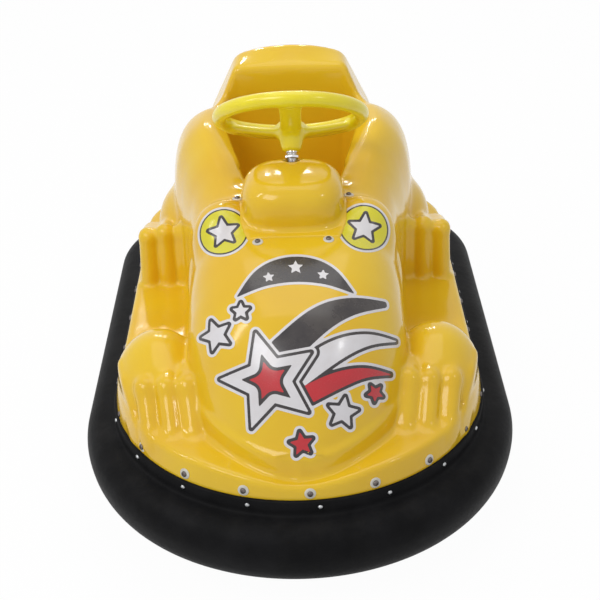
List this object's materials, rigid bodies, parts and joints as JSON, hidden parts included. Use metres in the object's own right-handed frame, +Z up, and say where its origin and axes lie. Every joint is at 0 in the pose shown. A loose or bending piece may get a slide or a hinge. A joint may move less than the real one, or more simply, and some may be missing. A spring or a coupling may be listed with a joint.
{
  "type": "fairground bumper car",
  "caption": "Battery bumper car: rounded animal-shaped yellow shell with paws, open cockpit, steering wheel on a leaning column, black rubber bumper ring and small road wheels.",
  "frame": {"origin": "on the floor, below the middle of the bumper ring's plan", "axes": "+Z up, the front of the car at -Y, +X to the picture's right when it is seen from the front"},
  "size_m": [1.04, 1.6, 0.9578],
  "materials": {
    "body_yellow": "glossy gel-coated glass fibre moulding",
    "wheel_yellow": "glossy moulded plastic, lemon yellow",
    "bumper_rubber": "matt black bumper rubber",
    "tyre_rubber": "solid rubber tyre",
    "zinc_steel": "zinc-plated steel",
    "chassis_paint": "black painted steel",
    "machined_steel": "turned steel",
    "shaft_chrome": "chrome-plated",
    "battery_case": "matt black battery case",
    "motor_case": "grey painted casting",
    "wheel_metal": "painted cast wheel centre"
  },
  "bodies": {
    "root": {"bumper_ring": "bumper_rubber", "bumper_band": "zinc_steel", "deck": "body_yellow", "front_body": "body_yellow", "rear_body": "body_yellow", "column_cover": "body_yellow", "cockpit_tub": "body_yellow", "floor_plate": "zinc_steel", "chassis": "chassis_paint", "battery_tray": "chassis_paint", "battery": "battery_case", "drive_bridge": "chassis_paint", "pin_housing": "machined_steel", "column_tube": "chassis_paint", "column_stand": "chassis_paint", "column_hanger": "chassis_paint", "rear_bracket_left": "chassis_paint", "rear_bracket_right": "chassis_paint", "rear_axle_left": "machined_steel", "rear_axle_right": "machined_steel", "pedal_base": "chassis_paint", "pedal": "machined_steel"},
    "steering": {"steering_shaft": "shaft_chrome", "steering_wheel": "wheel_yellow", "shaft_nut": "shaft_chrome"},
    "lower_column": {"lower_shaft": "shaft_chrome"},
    "drive_unit": {"drive_fork": "chassis_paint", "king_pin": "machined_steel", "drive_gearbox": "motor_case", "drive_motor": "motor_case"},
    "drive_wheel": {"drive_axle": "machined_steel", "drive_hub": "wheel_metal", "drive_tyre": "tyre_rubber"},
    "rear_wheel_left": {"rear_hub_left": "wheel_metal", "rear_tyre_left": "tyre_rubber"},
    "rear_wheel_right": {"rear_hub_right": "wheel_metal", "rear_tyre_right": "tyre_rubber"}
  },
  "joints": [
    {"name": "steering_turn", "type": "hinge", "parent": "root", "child": "steering", "pos_m": [0, -0.009, 0.842], "axis": [0, 0.5807, 0.8141], "continuous": true},
    {"name": "lower_shaft_turn", "type": "hinge", "parent": "root", "child": "lower_column", "pos_m": [0, -0.53, 0.324], "axis": [0, 0.8294, 0.5587], "continuous": true},
    {"name": "drive_turn", "type": "hinge", "parent": "root", "child": "drive_unit", "pos_m": [0, -0.53, 0.2], "axis": [0, 0, 1], "continuous": true},
    {"name": "drive_wheel_spin", "type": "hinge", "parent": "drive_unit", "child": "drive_wheel", "pos_m": [0, -0.53, 0.1], "axis": [1, 0, 0], "continuous": true},
    {"name": "rear_left_spin", "type": "hinge", "parent": "root", "child": "rear_wheel_left", "pos_m": [-0.282, 0.43, 0.1], "axis": [1, 0, 0], "continuous": true},
    {"name": "rear_right_spin", "type": "hinge", "parent": "root", "child": "rear_wheel_right", "pos_m": [0.282, 0.43, 0.1], "axis": [1, 0, 0], "continuous": true}
  ],
  "couplings": [
    {"joint": "steering_turn", "follows": "drive_turn", "ratio": 1},
    {"joint": "lower_shaft_turn", "follows": "drive_turn", "ratio": 1}
  ]
}
